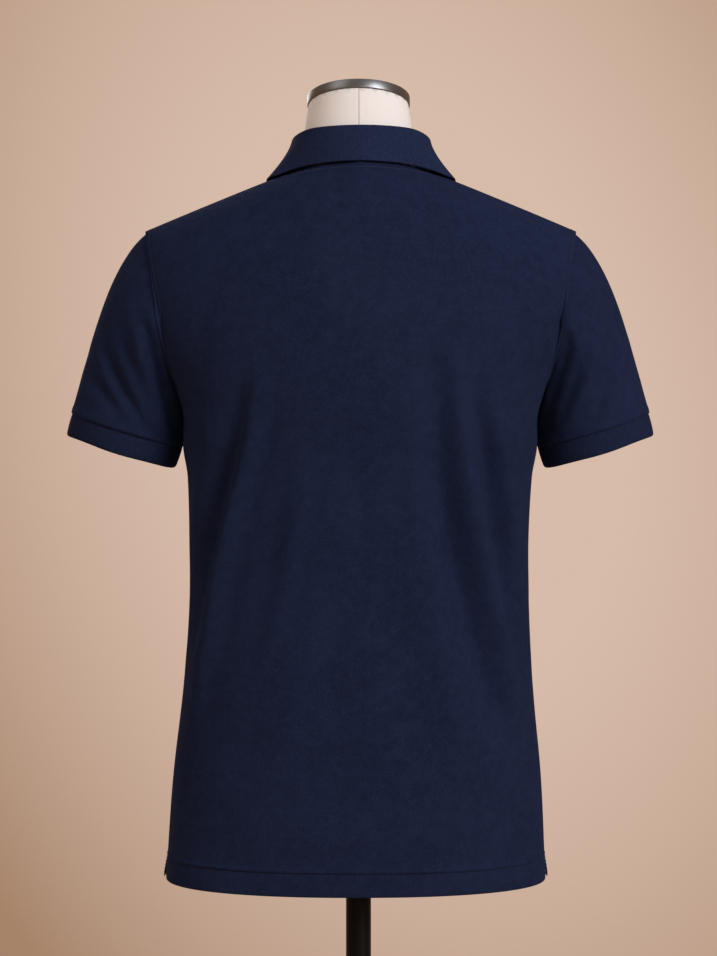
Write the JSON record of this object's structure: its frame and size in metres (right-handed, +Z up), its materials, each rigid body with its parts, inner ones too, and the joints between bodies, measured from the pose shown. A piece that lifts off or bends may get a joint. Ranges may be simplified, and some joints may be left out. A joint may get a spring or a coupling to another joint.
{
  "type": "polo shirt on a limbless dress form with a pole stand",
  "caption": "Short-sleeved polo shirt with rib collar and cuffs and a buttoned placket, worn by a smooth limbless dress form on a pole with a round base.",
  "frame": {"origin": "on the floor at the middle of the base plate's underside, under the pole", "axes": "+Z up; the shirt's front faces -Y and its back +Y; +X is its wearer's left"},
  "size_m": [0.5872, 0.37, 1.5309],
  "materials": {
    "pique": "navy cotton pique knit, matt",
    "rib": "navy flat rib knit, matt",
    "button": "navy four-hole resin button, semi-gloss",
    "canvas": "cream canvas stretched over the form, matt",
    "steel": "brushed, satin",
    "stand": "black powder coat, satin"
  },
  "bodies": {
    "root": {"back_panel": "pique", "front_panel": "pique", "sleeve_left": "pique", "sleeve_right": "pique", "placket_under": "pique", "placket_over": "pique", "collar": "rib", "cuff_left": "rib", "cuff_right": "rib", "button_top": "button", "button_middle": "button", "button_bottom": "button", "form_torso": "canvas", "neck_band": "steel", "neck_cap": "steel", "pole_flange": "stand", "pole": "stand", "foot_socket": "stand", "base_plate": "stand"}
  },
  "joints": []
}
